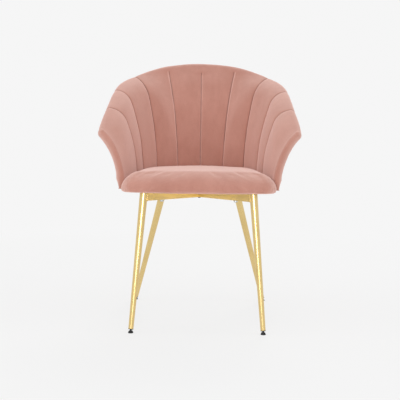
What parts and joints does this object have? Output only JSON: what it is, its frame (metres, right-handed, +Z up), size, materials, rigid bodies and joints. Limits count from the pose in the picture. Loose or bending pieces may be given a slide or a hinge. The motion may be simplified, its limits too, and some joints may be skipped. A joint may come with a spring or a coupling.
{
  "type": "upholstered armchair",
  "caption": "Velvet armchair with a fanned, channel-sewn tub back, a domed seat pad and slim tapering brass-finish legs joined by crossed bars.",
  "frame": {"origin": "on the floor, under the middle of the chair's bounding box", "axes": "+Z up, -Y towards the front of the seat, +X to the right of someone who looks at the front"},
  "size_m": [0.5988, 0.5319, 0.7992],
  "materials": {
    "velvet": "short pile velvet, dusty rose",
    "foam": "open-cell foam",
    "plywood": "raw plywood",
    "moulded_core": "moulded, matt",
    "black_cloth": "non-woven cloth",
    "brass_finish": "brass-coloured plating on steel tube",
    "zinc_steel": "bright zinc",
    "black_steel": "black oxide",
    "black_plastic": "moulded, matt"
  },
  "bodies": {
    "chair": {"back_channel_cover": "velvet", "back_core": "moulded_core", "back_foam": "foam", "back_outer_cover": "velvet", "bracket_board_screws": "zinc_steel", "bracket_core_screws": "zinc_steel", "centre_bolt": "black_steel", "cross_bar_left": "brass_finish", "cross_bar_right": "brass_finish", "dust_cover": "black_cloth", "frame_bolts": "zinc_steel", "frame_washers": "zinc_steel", "front_left_foot_insert": "black_plastic", "front_left_leg": "brass_finish", "front_left_leg_cap": "brass_finish", "front_right_foot_insert": "black_plastic", "front_right_leg": "brass_finish", "front_right_leg_cap": "brass_finish", "rear_left_bracket": "zinc_steel", "rear_left_foot_insert": "black_plastic", "rear_left_leg": "brass_finish", "rear_left_leg_cap": "brass_finish", "rear_right_bracket": "zinc_steel", "rear_right_foot_insert": "black_plastic", "rear_right_leg": "brass_finish", "rear_right_leg_cap": "brass_finish", "seat_board": "plywood", "seat_cover": "velvet", "seat_foam": "foam", "side_left_bracket": "zinc_steel", "side_right_bracket": "zinc_steel", "tee_nuts": "zinc_steel"},
    "front_left_glide": {"front_left_glide_stud": "black_steel", "front_left_glide_pad": "black_plastic"},
    "front_right_glide": {"front_right_glide_stud": "black_steel", "front_right_glide_pad": "black_plastic"},
    "rear_left_glide": {"rear_left_glide_stud": "black_steel", "rear_left_glide_pad": "black_plastic"},
    "rear_right_glide": {"rear_right_glide_stud": "black_steel", "rear_right_glide_pad": "black_plastic"}
  },
  "joints": [
    {"name": "front_left_glide_screw", "type": "slide", "parent": "chair", "child": "front_left_glide", "axis": [-0.0812, -0.099, -0.9918], "range_m": [0, 0.008]},
    {"name": "front_right_glide_screw", "type": "slide", "parent": "chair", "child": "front_right_glide", "axis": [0.0812, -0.099, -0.9918], "range_m": [0, 0.008]},
    {"name": "rear_left_glide_screw", "type": "slide", "parent": "chair", "child": "rear_left_glide", "axis": [-0.2428, 0.2913, -0.9253], "range_m": [0, 0.008]},
    {"name": "rear_right_glide_screw", "type": "slide", "parent": "chair", "child": "rear_right_glide", "axis": [0.2428, 0.2913, -0.9253], "range_m": [0, 0.008]}
  ]
}
